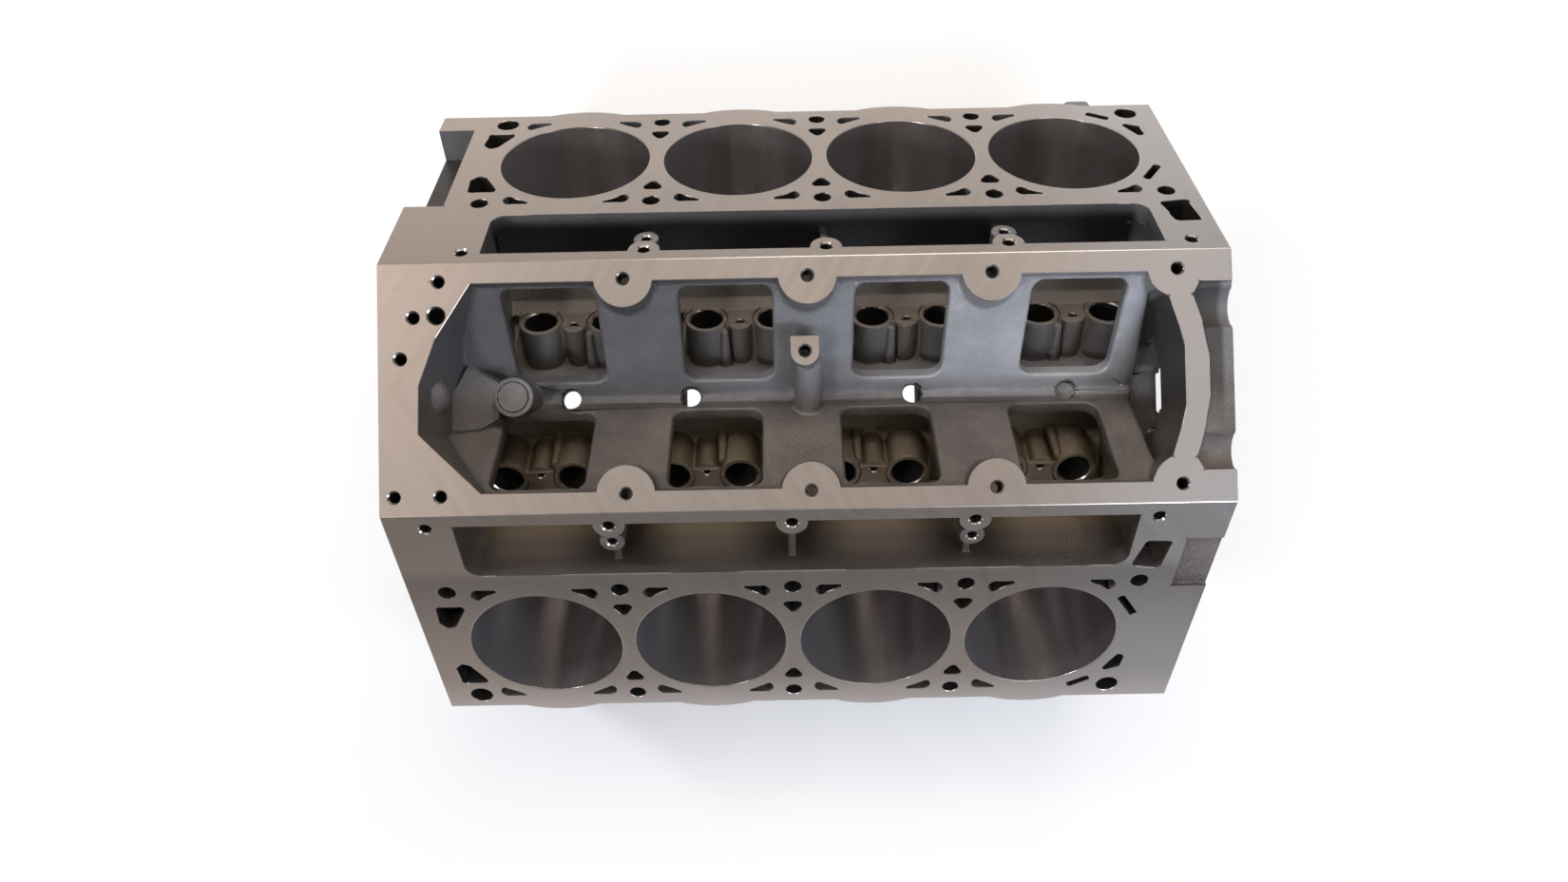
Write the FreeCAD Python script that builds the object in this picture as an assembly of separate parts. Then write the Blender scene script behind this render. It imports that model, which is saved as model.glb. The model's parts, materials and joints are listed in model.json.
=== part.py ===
import FreeCAD, Part
import os
from math import sin, cos, tan, radians, sqrt
from FreeCAD import Vector, Rotation

# A bare V8 engine block, in millimetres: +X to the front along the crank, +Y to the left bank, +Z up.
# The origin is on the crank axis at the middle main bearing, and the block stands on its pan rail.
os.makedirs("parts", exist_ok=True)

# Layout of the crank, the banks and the machined planes
bore_pitch = 111.76
bank_stagger = 24.0
deck_height = 234.7
bore_radius = 50.8
bore_chamfer = 0.5
bore_run_out = 22.0
rear_overhang = 36.9
front_overhang = 32.6
rail_top_z = 255.4
rail_half_width = 76.5
pan_rail_z = -68.0
left, right = 1, -1

# Cylinder banks: x along the block, u across the deck and towards the valley, d along the bore axis
deck_outer_u = -69.5
deck_bulge_radius = 74.5
deck_thickness = 12.7
bank_wall_u = -62.0
barrel_radius = 72.5
barrel_bottom_d = 128.0
liner_radius = 57.3
liner_bottom_d = 92.0
jacket_radius = 68.0
jacket_bottom_d = 125.0
jacket_valley_u = 65.5
jacket_rear_reach, jacket_front_reach = 64.0, 58.0

# Head bolts, and the row of smaller bolts beyond the lifter gallery
head_bolt_u = 55.9
head_bolt_radius = 5.5
head_bolt_depth = 62.0
head_boss_radius = 11.0
bolt_column_radius = 12.5
bolt_column_bottom_d = 135.0
dowel_bore_radius = 7.5
dowel_bore_depth = 12.0
small_bolt_u = 115.0
small_bolt_radius = 3.6
small_bolt_depth = 24.0
small_boss_radius = 9.75
small_boss_bottom_d = 190.0

# Lifter gallery and its slot in the deck
gallery_shift = 9.5
gallery_end_reach = 41.9
slot_inner_u = 71.5
slot_outer_u = 117.0
slot_corner_radius = 10.0
gallery_outer_u = 122.0
gallery_floor_d = 133.0
gallery_roof_d = 221.0
tray_boss_radius = 8.0
tray_boss_u = 98.0
tray_boss_top_d = 232.0
tray_boss_height = 18.0
tray_rib_width = 5.0
tray_rib_top_d = 221.0
tray_hole_radius = 3.0
tray_hole_depth = 14.0

# Camshaft tunnel and lifter bores
cam_height = 124.8
cam_bore_radius = 29.6
cam_tunnel_radius = 34.0
lifter_offset = 22.9
lifter_radius = 10.7
lifter_boss_radius = 14.5
lifter_boss_height = 75.2
lifter_post_radius = 8.0
lifter_post_shift = 3.0
lifter_post_drop = 1.0
lifter_post_hole_radius = 2.4
lifter_post_hole_depth = 16.0
lifter_foot_z, lifter_ledge_z = 163.5, 170.0
lifter_shelf_drop = 0.6
lifter_web_reach = 6.0
lifter_shelf_reach = 37.4
oil_rib_radii, oil_rib_u = (4.4, 2.4), 99.0
oil_rib_shifts = {1: (10.5, -10.5, -10.5, -10.5), -1: (10.5, 10.5, -10.5, 10.5)}
oil_rib_drop = 2.0

# Valley
valley_wall_u = 130.8
valley_floor = ((1.2, 186.2), (-4.0, 187.2), (-8.5, 193.5))
valley_front_back = 42.6
window_pitch = 109.5
window_shift = 4.0
window_length = 58.0
window_bottom_d = 144.0
window_top_d = 217.5
window_corner_radius = 9.0
rail_boss_radius = 18.0
rail_boss_y = 65.5
rail_bolt_y = 65.0
rail_bolt_radius = 3.4
rail_bolt_depth = 22.0
drain_radius = 6.4
drain_y = -1.0
drain_places_x = (-156.8, -77.2, 69.9)
drain_wall = 8.0
drain_relief_radius, drain_relief_height = 12.0, 9.0
spot_face_back, spot_face_depth = 84.1, 3.0

# Outline of the valley opening and the places on its rail, counted inwards from the rear or front face
opening_rear = ((56.0, 63.5), (35.0, 31.0), (24.5, 2.0), (24.0, -27.0), (32.0, -35.0), (61.5, -63.5))
opening_front = ((38.6, 63.5), (38.6, 49.0), (32.5, 30.0), (29.5, 18.0))
rear_rail_holes = ((9.0, -65.0, 3.4), (13.5, 18.5, 3.5), (21.5, 43.5, 3.5), (35.5, 44.5, 5.0))
rear_wall_lean = 0.14
rear_step = ((40.6, 20.0), (36.1, 12.3), (28.0, -3.1), (28.0, -16.1),
             (32.4, -22.8), (50.0, -20.9), (61.0, -14.5), (60.2, 9.7))
rear_step_z = 208.0
cast_front_half_width = 57.0
cast_front_edge = ((19.5, 57.0), (24.0, 49.0), (18.5, 32.5), (15.1, 12.0))
cast_front_drop = 1.0
scallop_radius, scallop_rise, scallop_depth = 14.0, 6.0, 12.0
scallop_places_y = (41.0, -46.5)

# Posts and bosses that stand in the valley
post_x, post_y, post_top_z = -1.9, 22.0, 236.0
post_radius = 9.2
post_back_reach = 9.5
post_leg_radius = 9.0
post_leg_offset = (2.5, -36.5, 1.3)
post_leg_length = 46.0
post_hole_radius = 3.5
post_hole_depth = 20.0
rear_boss_back, rear_boss_y, rear_boss_top_z = 71.4, -1.2, 214.0
rear_boss_radius = 13.0
rear_plug_radius = 9.3
rear_plug_depth = 9.0
rear_plug_rise = 0.8
dome_radius = 12.5
dome_z, dome_back = 226.5, 23.0

# Crankcase
main_bore_radius = 34.93
bulkhead_width = 24.0
skirt_outer_y = 134.0
skirt_inner_y = 122.0
bay_roof_d = 108.0
bay_shoulder_y = 27.2
pan_rail_outer_y = 150.0
pan_rail_inner_y = 116.0
pan_rail_thickness = 13.0
pan_bolt_y = 141.5
pan_bolt_radius = 3.5
cap_half_width = 92.0
side_boss_radius = 14.0
side_bolt_z = -34.0
rib_width = 10.0
rib_top_z = 46.0
rib_foot_inset = 3.0

# Main caps and their bolts
cap_width = 23.0
cap_height = 52.0
cap_shoulder_y = 58.2
cap_shoulder_slope = 1.2
cap_shoulder_height = 44.0
cap_clearance = 0.05
inner_bolt_y = 46.0
outer_bolt_y = 68.0
main_bolt_radius = 5.0
main_bolt_depth = 48.0
main_head_height = 9.0
main_head_across_flats = 15.0
main_flange_radius = 9.5
side_bolt_radius = 4.0
side_bolt_length = 74.0
side_head_height = 7.5
side_head_across_flats = 13.0
side_flange_radius = 8.0
flange_height = 2.0
tip_clearance = 3.0

# Bushes and pressed-in plugs
cam_bush_radius = 27.5
cam_bush_width = 20.0
core_plug_radius = 20.6
core_plug_depth = 9.0
core_plug_wall = 1.6
core_boss_radius = 25.5
core_boss_face_u = -75.5
core_plug_d = 168.0
core_plug_recess = 1.5
core_seat_depth = 14.0
gallery_plug_radius = 7.0
gallery_plug_length = 9.0
gallery_plug_run_out = 8.0
gallery_plug_recess = 1.0
gallery_plug_y, gallery_plug_z = 56.0, 180.0
plug_socket_radius = 3.6
plug_socket_depth = 5.0

# Bellhousing flange at the rear
flange_thickness = 13.0
flange_corner_radius = 9.0
flange_wing = ((100.0, -68.0), (178.0, -68.0), (198.0, -46.0), (203.0, 4.0),
               (197.0, 60.0), (205.5, 107.2), (140.0, 80.0))
housing_bolt_circle = 184.15
housing_bolt_angles = (22.0, 66.0, 106.0)
housing_bolt_radius = 5.0
housing_bolt_depth = 24.0
housing_dowel_angle = 86.0
housing_dowel_radius = 7.9
housing_dowel_seat_radius = 8.2
housing_dowel_length = 24.0
housing_dowel_seat = 12.0
housing_dowel_chamfer = 1.2
rear_recess_depth = 24.0
end_corner_radius = 7.0
rear_recess_half = ((98.0, -69.0), (98.0, 40.0), (64.0, 92.0), (46.0, 122.0), (40.0, 168.0))
rear_notch_back = 26.0
rear_notch_u = (-48.5, 58.5)
rear_notch_d = 212.0
rear_pocket_d = 132.0

# Front end: timing chest, coolant ports and the bosses round them
chest_back = 20.1
chest_half = ((86.0, -69.0), (86.0, 40.0), (60.0, 92.0), (62.0, 140.0), (40.0, 184.0), (14.0, 207.0))
pocket_half = ((26.0, 183.0), (63.5, 220.5), (63.5, 256.9))
front_wall_back = 28.1
ridge_radius = 14.0
ridge_z = 173.2
front_notch_y = (-16.0, 10.0)
front_notch_back = 22.6
front_notch_top_z = 200.0
chest_slot_half_width = 30.0
chest_slot_top_z, chest_arch_top_z = 206.0, 210.0
front_spot = (24.4, -32.0, 4.8)
front_spot_top_z = 200.0
pump_port_u, pump_port_d, pump_port_radius = 10.0, 165.0, 16.0
pump_port_reach = 55.0
pump_bolt_circle_radius = 30.0
pump_bolt_angles = (30.0, 150.0, 270.0)
pump_bolt_radius = 3.5
pump_bolt_depth = 16.0
chest_bolts = ((103.0, -46.0), (103.0, 20.0), (77.0, 84.0), (77.0, 150.0))
chest_bolt_depth = 20.0
deck_step_depth = 2.5
deck_step_length = 23.0
deck_step_u = (50.0, 95.0)

# Engine mount pads and the boss near the front of the left bank
mount_spacing_x = 76.2
mount_bottom_z = -14.0
mount_spacing_z = 58.0
mount_face_y = 152.0
mount_boss_radius = 13.5
mount_bolt_radius = 4.3
mount_bolt_depth = 22.0
side_lug = (58.1, 37.1, 206.0, 228.0, -92.0)
side_lug_corner_radius = 5.0

# Openings in the decks, placed from a bore centre, with u counted away from the bore line
slot_depth = 20.0
triangle_slot = ((-8.4, 41.2), (8.0, 41.2), (0.0, 28.6))
big_slot = ((-66.5, 41.5), (-46.5, 41.5), (-57.5, 22.0), (-62.5, 19.5), (-67.5, 25.0))
front_blob = ((49.7, 40.0), (60.7, 35.0), (61.7, 24.0), (57.7, 20.5), (53.7, 28.0), (49.7, 36.0))
front_inner_slot = ((45.0, 38.7), (57.2, 20.7), (61.2, 23.4), (49.0, 41.4))
front_outer_slot = ((26.3, 54.2), (40.2, 45.6), (42.8, 49.8), (29.0, 58.4))
coolant_port = ((47.5, 70.5), (66.5, 67.5), (69.5, 92.5), (53.0, 93.0), (51.0, 85.0))
coolant_port_depth = 30.0
teardrop_arc_radius = 60.5
teardrop_line_u = 57.6
teardrop_tip_x, teardrop_flat_x, teardrop_end_x = 24.0, 36.0, 41.0
teardrop_end_u = 47.3
teardrop_tip_width = 1.0
slot_radius = 2.8
narrow_slot_radius = 2.0

# How far cutting tools run past a face, and joined solids into each other
over = 1.5
join = 4.0

slope = sqrt(0.5)
banks = (left, right)
main_places_x = [(i - 2) * bore_pitch for i in range(5)]
rear_face_x = main_places_x[0] - rear_overhang
front_face_x = main_places_x[4] + front_overhang
valley_front_x = front_face_x - valley_front_back
front_wall_x = front_face_x - front_wall_back
chest_rear_x = front_face_x - chest_back
rear_boss_x = rear_face_x + rear_boss_back
mount_x = bore_pitch / 2
valley_offset = valley_wall_u / slope
valley_floor_z = valley_floor[0][1]


def bore_x(side, k):
    return side * bank_stagger / 2 + (k - 1.5) * bore_pitch


def cylinder(radius, start, direction, length):
    return Part.makeCylinder(radius, length, Vector(*start), Vector(*direction))


def block(x0, x1, y0, y1, z0, z1):
    return Part.makeBox(x1 - x0, y1 - y0, z1 - z0, Vector(x0, y0, z0))


# A flat face in the XY plane from its corners, each rounded by the radius that is given
def rounded_face(corners, radius=0.0):
    points = [Vector(*corner) for corner in corners]
    count = len(points)
    arcs, ends = [], []
    for i, here in enumerate(points):
        if radius == 0.0:
            arcs.append([])
            ends.append((here, here))
            continue
        back = (points[i - 1] - here).normalize()
        ahead = (points[(i + 1) % count] - here).normalize()
        half = back.getAngle(ahead) / 2
        start = here + back * (radius / tan(half))
        end = here + ahead * (radius / tan(half))
        middle = here + (back + ahead).normalize() * (radius / sin(half) - radius)
        arcs.append([Part.Arc(start, middle, end).toShape()])
        ends.append((start, end))
    wire = []
    for i in range(count):
        wire += arcs[i]
        wire.append(Part.makeLine(ends[i][1], ends[(i + 1) % count][0]))
    return Part.Face(Part.Wire(wire))


# Prism of a plan outline (x, y) between two heights
def plan_prism(corners, z0, z1, radius=0.0):
    shape = rounded_face(corners, radius).extrude(Vector(0, 0, z1 - z0))
    shape.translate(Vector(0, 0, z0))
    return shape


# Prism of a cross section (y, z) between two places along the block
def section_prism(corners, x0, x1, radius=0.0):
    shape = rounded_face(corners, radius).extrude(Vector(0, 0, x1 - x0))
    shape.Placement.Rotation = Rotation(Vector(1, 1, 1), 120)
    shape.translate(Vector(x0, 0, 0))
    return shape


# Prism of a side outline (x, z) between two places across the block
def side_prism(corners, y0, y1, radius=0.0):
    shape = rounded_face(corners, radius).extrude(Vector(0, 0, y1 - y0))
    shape.Placement.Rotation = Rotation(Vector(1, 0, 0), 90)
    shape.translate(Vector(0, y1, 0))
    return shape


def both_halves(half):
    return list(half) + [(-a, b) for a, b in reversed(half)]


# Turns a shape from bank axes (x, u, d) to the block's own axes
def in_bank(shape, side):
    placed = shape.copy()
    placed.rotate(Vector(0, 0, 0), Vector(1, 0, 0), 45)
    return placed.mirror(Vector(0, 0, 0), Vector(0, 1, 0)) if side == left else placed


def bank_point(side, u, d):
    return side * slope * (d - u), slope * (d + u)


def body_envelope():
    wall_z = skirt_outer_y + bank_wall_u / slope
    deck_y, deck_z = bank_point(left, bank_wall_u, deck_height)
    half = ((skirt_outer_y, pan_rail_z), (skirt_outer_y, wall_z), (deck_y, deck_z),
            (rail_half_width, rail_top_z))
    return section_prism(both_halves(half), rear_face_x, front_face_x)


def pan_rail():
    top = pan_rail_z + pan_rail_thickness
    solids = [block(rear_face_x, front_face_x, -pan_rail_outer_y, pan_rail_outer_y, pan_rail_z, top)]
    for x in main_places_x:
        for side in banks:
            start = (x, side * pan_rail_inner_y, side_bolt_z)
            length = pan_rail_outer_y - pan_rail_inner_y
            solids.append(cylinder(side_boss_radius, start, (0, side, 0), length))
            back = skirt_outer_y - join
            foot = pan_rail_outer_y - rib_foot_inset
            rib = ((back, top - over), (foot, top - over), (foot, 0.0), (back, rib_top_z))
            placed = [(side * y, z) for y, z in rib]
            solids.append(section_prism(placed, x - rib_width / 2, x + rib_width / 2))
    return solids


# Deck plate, water jacket barrels and the columns round the outer head bolts of one bank
def bank_outside(side):
    plate_bottom = deck_height - deck_thickness
    solids = [block(rear_face_x, front_face_x, deck_outer_u, bank_wall_u + join, plate_bottom, deck_height)]
    for k in range(4):
        x = bore_x(side, k)
        solids.append(cylinder(deck_bulge_radius, (x, 0, plate_bottom), (0, 0, 1), deck_thickness))
        height = plate_bottom + join - barrel_bottom_d
        solids.append(cylinder(barrel_radius, (x, 0, barrel_bottom_d), (0, 0, 1), height))
    for x in head_bolt_places(side)[1:4]:
        start = (x, -head_bolt_u, bolt_column_bottom_d)
        height = plate_bottom + join - bolt_column_bottom_d
        solids.append(cylinder(bolt_column_radius, start, (0, 0, 1), height))
    for k in core_plug_bores(side):
        start = (bore_x(side, k), core_boss_face_u, core_plug_d)
        solids.append(cylinder(core_boss_radius, start, (0, 1, 0), -core_boss_face_u + bank_wall_u + join))
    if side == left:
        back0, back1, d0, d1, u = side_lug
        x0, x1 = front_face_x - back0, front_face_x - back1
        outline = ((x0, d0), (x1, d0), (x1, d1), (x0, d1))
        solids.append(side_prism(outline, u, bank_wall_u + join, side_lug_corner_radius))
    return [in_bank(s, side) for s in solids]


def head_bolt_places(side):
    return [bore_x(side, 0) + (k - 0.5) * bore_pitch for k in range(5)]


# The left bank has its plugs in the three rear barrels and the right bank in the three front ones
def core_plug_bores(side):
    return (0, 1, 2) if side == left else (1, 2, 3)


def bellhousing_flange():
    solids = []
    for side in banks:
        wing = [(side * y, z) for y, z in flange_wing]
        solids.append(section_prism(wing, rear_face_x, rear_face_x + flange_thickness, flange_corner_radius))
    return solids


def mount_places():
    places_x = (mount_x - mount_spacing_x / 2, mount_x + mount_spacing_x / 2)
    places_z = (mount_bottom_z, mount_bottom_z + mount_spacing_z)
    return [(x, z) for x in places_x for z in places_z]


def mount_bosses():
    solids = []
    for side in banks:
        for x, z in mount_places():
            start = (x, side * skirt_inner_y, z)
            solids.append(cylinder(mount_boss_radius, start, (0, side, 0), mount_face_y - skirt_inner_y))
    return solids


# Four crank bays, with the lower ends of the cylinders left standing in their roofs
def crank_bays():
    roof = bay_roof_d / slope
    half = ((skirt_inner_y, pan_rail_z - over), (skirt_inner_y, roof - skirt_inner_y),
            (bay_shoulder_y, roof - bay_shoulder_y))
    liner_length = bay_roof_d - liner_bottom_d + over
    liners = []
    for side in banks:
        for k in range(4):
            liner = cylinder(liner_radius, (bore_x(side, k), 0, liner_bottom_d), (0, 0, 1), liner_length)
            liners.append(in_bank(liner, side))
    tools = []
    for i in range(4):
        x0 = main_places_x[i] + bulkhead_width / 2
        x1 = main_places_x[i + 1] - bulkhead_width / 2
        bay = section_prism(both_halves(half), x0, x1)
        bay = bay.fuse(cylinder(cam_tunnel_radius, (x0, 0, cam_height), (1, 0, 0), x1 - x0))
        tools.append(bay.cut(liners))
    return tools


def cap_registers():
    tools = []
    for x in main_places_x:
        half = bulkhead_width / 2 + over
        tools.append(block(x - half, x + half, -cap_half_width, cap_half_width, pan_rail_z - over, 0))
    return tools


def shaft_bores():
    length = front_face_x - rear_face_x + 2 * over
    main = cylinder(main_bore_radius, (rear_face_x - over, 0, 0), (1, 0, 0), length)
    cam = cylinder(cam_bore_radius, (rear_face_x - over, 0, cam_height), (1, 0, 0), length)
    return [main, cam]


def cylinder_bores(side):
    tools = []
    for k in range(4):
        x = bore_x(side, k)
        start = (x, 0, liner_bottom_d - bore_run_out)
        length = deck_height - liner_bottom_d + bore_run_out + over
        tools.append(cylinder(bore_radius, start, (0, 0, 1), length))
        rim = Part.makeCone(bore_radius, bore_radius + 2 * bore_chamfer, 2 * bore_chamfer)
        rim.translate(Vector(x, 0, deck_height - bore_chamfer))
        tools.append(rim)
    return [in_bank(t, side) for t in tools]


def water_jacket(side):
    height = deck_height - deck_thickness - jacket_bottom_d
    outer, inner = [], []
    for k in range(4):
        start = (bore_x(side, k), 0, jacket_bottom_d)
        outer.append(cylinder(jacket_radius, start, (0, 0, 1), height))
        inner.append(cylinder(liner_radius, start, (0, 0, 1), height))
    for x in head_bolt_places(side):
        for u in (-head_bolt_u, head_bolt_u):
            inner.append(cylinder(head_boss_radius, (x, u, jacket_bottom_d), (0, 0, 1), height))
    ring = outer[0].fuse(outer[1:]).removeSplitter().cut(inner)
    ends = (bore_x(side, 0) - jacket_rear_reach, bore_x(side, 3) + jacket_front_reach)
    room = block(ends[0], ends[1], -jacket_radius, jacket_valley_u, jacket_bottom_d, deck_height)
    return [in_bank(ring.common(room), side)]


def lifter_places(side):
    return [bore_x(side, k) + dx for k in range(4) for dx in (-lifter_offset, lifter_offset)]


# Gallery over the lifters with its slot through the deck, and the bosses that stand in it
def lifter_gallery(side):
    middle = side * gallery_shift
    half = 1.5 * bore_pitch + gallery_end_reach
    axis_u = slope * cam_height
    lifter_top_d = axis_u + lifter_boss_height
    ends = (middle - half, middle + half)
    chamber = block(*ends, slot_inner_u, gallery_outer_u, gallery_floor_d, gallery_roof_d)
    r = slot_corner_radius
    slot_corners = ((middle - half, slot_inner_u), (middle + half, slot_inner_u),
                    (middle + half, slot_outer_u + r), (middle - half, slot_outer_u + r))
    slot = plan_prism(slot_corners, gallery_roof_d - over, deck_height + over, r)
    slot = slot.common(block(*ends, 0, slot_outer_u, 0, deck_height + over))
    room = chamber.fuse(slot)
    floor_d = gallery_floor_d - over
    shelf_top_d = lifter_top_d - lifter_shelf_drop
    web_u = axis_u + lifter_web_reach
    standing = []
    for x in lifter_places(side):
        standing.append(cylinder(lifter_boss_radius, (x, axis_u, 0), (0, 0, 1), lifter_top_d))
    for k in range(4):
        start = (bore_x(side, k), axis_u + lifter_post_shift, 0)
        standing.append(cylinder(lifter_post_radius, start, (0, 0, 1), lifter_top_d - lifter_post_drop))
        shelf_ends = (start[0] - lifter_shelf_reach, start[0] + lifter_shelf_reach)
        standing.append(block(*shelf_ends, slot_inner_u - over, web_u, floor_d, shelf_top_d))
        start = (bore_x(side, k) + oil_rib_shifts[side][k], oil_rib_u, floor_d)
        rib = Part.makeCone(*oil_rib_radii, lifter_top_d - oil_rib_drop - floor_d)
        rib.translate(Vector(*start))
        standing.append(rib)
    for level_z, d in ((lifter_foot_z, floor_d), (lifter_ledge_z, shelf_top_d - over)):
        u, total = slot_inner_u - over, level_z / slope
        corners = ((u, d), (total - d, d), (u, total - u))
        standing.append(section_prism(corners, ends[0] - over, ends[1] + over))
    for x in head_bolt_places(side)[1:4]:
        start = (x, small_bolt_u, small_boss_bottom_d)
        height = deck_height + 2 * over - small_boss_bottom_d
        standing.append(cylinder(small_boss_radius, start, (0, 0, 1), height))
        rib_x = (x - tray_rib_width / 2, x + tray_rib_width / 2)
        standing.append(block(*rib_x, slot_inner_u - over, small_bolt_u, floor_d, tray_rib_top_d))
    for x in (head_bolt_places(side)[1], head_bolt_places(side)[3]):
        start = (x, tray_boss_u, tray_boss_top_d - tray_boss_height)
        standing.append(cylinder(tray_boss_radius, start, (0, 0, 1), tray_boss_height))
    tools = [room.cut(standing)]
    for x in lifter_places(side):
        start = (x, axis_u, axis_u)
        tools.append(cylinder(lifter_radius, start, (0, 0, 1), lifter_boss_height + over))
    for k in range(4):
        bottom_d = lifter_top_d - lifter_post_drop - lifter_post_hole_depth
        start = (bore_x(side, k), axis_u + lifter_post_shift, bottom_d)
        tools.append(cylinder(lifter_post_hole_radius, start, (0, 0, 1), lifter_post_hole_depth + over))
    return [in_bank(t, side) for t in tools]


def valley_windows(side):
    tools = []
    for k in range(4):
        x = side * window_shift + (k - 1.5) * window_pitch
        x0, x1 = x - window_length / 2, x + window_length / 2
        corners = ((x0, window_bottom_d), (x1, window_bottom_d), (x1, window_top_d), (x0, window_top_d))
        window = side_prism(corners, gallery_outer_u - over, valley_wall_u + over, window_corner_radius)
        tools.append(in_bank(window, side))
    return tools


def mirrored_slot(corners, x, side_x, side_u, d0, d1, radius):
    return plan_prism([(x + side_x * a, side_u * b) for a, b in corners], d0, d1, radius)


# A slot beside a head bolt, with one side on an arc about the bore
def teardrop(x, side_x, side_u, d0, d1):
    def place(dx, du):
        return Vector(x + side_x * dx, side_u * du, d0)

    def on_arc(dx):
        return place(dx, sqrt(teardrop_arc_radius ** 2 - dx ** 2))

    inner_x = sqrt(teardrop_arc_radius ** 2 - teardrop_end_u ** 2)
    tip = place(teardrop_tip_x, teardrop_line_u)
    flat = place(teardrop_flat_x, teardrop_line_u)
    bulge = place(teardrop_end_x, (teardrop_line_u + teardrop_end_u) / 2)
    inner, outer = on_arc(inner_x), on_arc(teardrop_tip_x + teardrop_tip_width)
    middle = on_arc((inner_x + teardrop_tip_x) / 2)
    wire = [
        Part.makeLine(tip, flat),
        Part.Arc(flat, bulge, inner).toShape(),
        Part.Arc(inner, middle, outer).toShape(),
        Part.makeLine(outer, tip),
    ]
    return Part.Face(Part.Wire(wire)).extrude(Vector(0, 0, d1 - d0))


def deck_slots(side):
    d0, d1 = deck_height - slot_depth, deck_height + over
    tools = []
    for x in head_bolt_places(side)[1:4]:
        for side_u in (-1, 1):
            tools.append(mirrored_slot(triangle_slot, x, 1, side_u, d0, d1, slot_radius))
    for k in range(4):
        for side_x in (-1, 1):
            for side_u in (-1, 1):
                if (k, side_x, side_u) != (3, 1, -1):
                    tools.append(teardrop(bore_x(side, k), side_x, side_u, d0, d1))
    for side_u in (-1, 1):
        tools.append(mirrored_slot(big_slot, bore_x(side, 0), 1, side_u, d0, d1, slot_radius))
    front = bore_x(side, 3)
    tools.append(mirrored_slot(front_blob, front, 1, -1, d0, d1, narrow_slot_radius))
    tools.append(mirrored_slot(front_outer_slot, front, 1, -1, d0, d1, narrow_slot_radius))
    tools.append(mirrored_slot(front_inner_slot, front, 1, 1, d0, d1, narrow_slot_radius))
    tools.append(mirrored_slot(coolant_port, front, 1, 1, deck_height - coolant_port_depth, d1, slot_radius))
    return [in_bank(t, side) for t in tools]


def deck_bolt_holes(side):
    tools = []
    places = head_bolt_places(side)
    for x in places:
        for u in (-head_bolt_u, head_bolt_u):
            start = (x, u, deck_height - head_bolt_depth)
            tools.append(cylinder(head_bolt_radius, start, (0, 0, 1), head_bolt_depth + over))
        start = (x, small_bolt_u, deck_height - small_bolt_depth)
        tools.append(cylinder(small_bolt_radius, start, (0, 0, 1), small_bolt_depth + over))
    for x in (places[0], places[4]):
        start = (x, -head_bolt_u, deck_height - dowel_bore_depth)
        tools.append(cylinder(dowel_bore_radius, start, (0, 0, 1), dowel_bore_depth + over))
    for x in (places[1], places[3]):
        start = (x, tray_boss_u, tray_boss_top_d - tray_hole_depth)
        tools.append(cylinder(tray_hole_radius, start, (0, 0, 1), tray_hole_depth + over))
    return [in_bank(t, side) for t in tools]


# The open valley: a V trough inside the outline of the rail opening, less what stands in it
def valley():
    half_top = rail_top_z + over - valley_offset
    walls_top = [(-half_top, rail_top_z + over), (half_top, rail_top_z + over)]
    trough = section_prism(walls_top + list(valley_floor), rear_face_x, valley_front_x)
    rear = [(rear_face_x + a, b) for a, b in opening_rear]
    far_side = [(front_face_x - a, b) for a, b in opening_front]
    near_side = [(x, -y) for x, y in far_side]
    bottom_z, top_z = valley_floor_z - over, rail_top_z + over
    opening = plan_prism(rear + near_side + far_side[::-1], bottom_z, top_z)
    y = opening_front[0][1]
    leaning = leaning_prism(rear + [(front_face_x, -y), (front_face_x, y)], bottom_z, top_z, rear_wall_lean)
    pocket = section_prism(both_halves(pocket_half), valley_front_x - over, front_wall_x)
    ridge_length = front_face_x - valley_front_x
    ridge = cylinder(ridge_radius, (valley_front_x - over, 0, ridge_z), (1, 0, 0), ridge_length)
    rail_bosses = []
    for x in main_places_x[1:]:
        for side in banks:
            start = (x, side * rail_boss_y, valley_floor_z)
            height = rail_top_z + 2 * over - valley_floor_z
            rail_bosses.append(cylinder(rail_boss_radius, start, (0, 0, 1), height))
    step = plan_prism([(rear_face_x + a, b) for a, b in rear_step], cam_height, rear_step_z)
    dome_start = (rear_face_x, rear_boss_y, dome_z)
    dome = cylinder(dome_radius, dome_start, (1, 0, 0), dome_back)
    dome_end = Part.makeSphere(dome_radius, Vector(rear_face_x + dome_back, rear_boss_y, dome_z))
    room = trough.fuse(pocket).common(opening).common(leaning)
    return [room.cut([step, dome, dome_end, ridge, rear_boss()] + centre_post() + rail_bosses)]


# Upright prism whose walls lean to the front as they go down, with its true outline on the rail
def leaning_prism(corners, z0, z1, lean):
    top_x = lean * (rail_top_z - z1)
    points = [Vector(x + top_x, y, z1) for x, y in corners]
    outline = Part.Face(Part.makePolygon(points + points[:1]))
    return outline.extrude(Vector(lean * (z1 - z0), 0, z0 - z1))


def rear_boss():
    start = (rear_boss_x, rear_boss_y, cam_height)
    return cylinder(rear_boss_radius, start, (0, 0, 1), rear_boss_top_z - cam_height)


# Upright threaded post on the far wall of the valley, with a leg down to the floor
def centre_post():
    floor = (post_x, post_y, valley_floor_z)
    upright = cylinder(post_radius, floor, (0, 0, 1), post_top_z - valley_floor_z)
    sides_x = (post_x - post_radius, post_x + post_radius)
    back = block(*sides_x, post_y, post_y + post_back_reach, valley_floor_z, post_top_z)
    leg_start = [a + b for a, b in zip(floor, post_leg_offset)]
    return [upright, back, cylinder(post_leg_radius, leg_start, (0, 1, 1), post_leg_length)]


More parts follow.
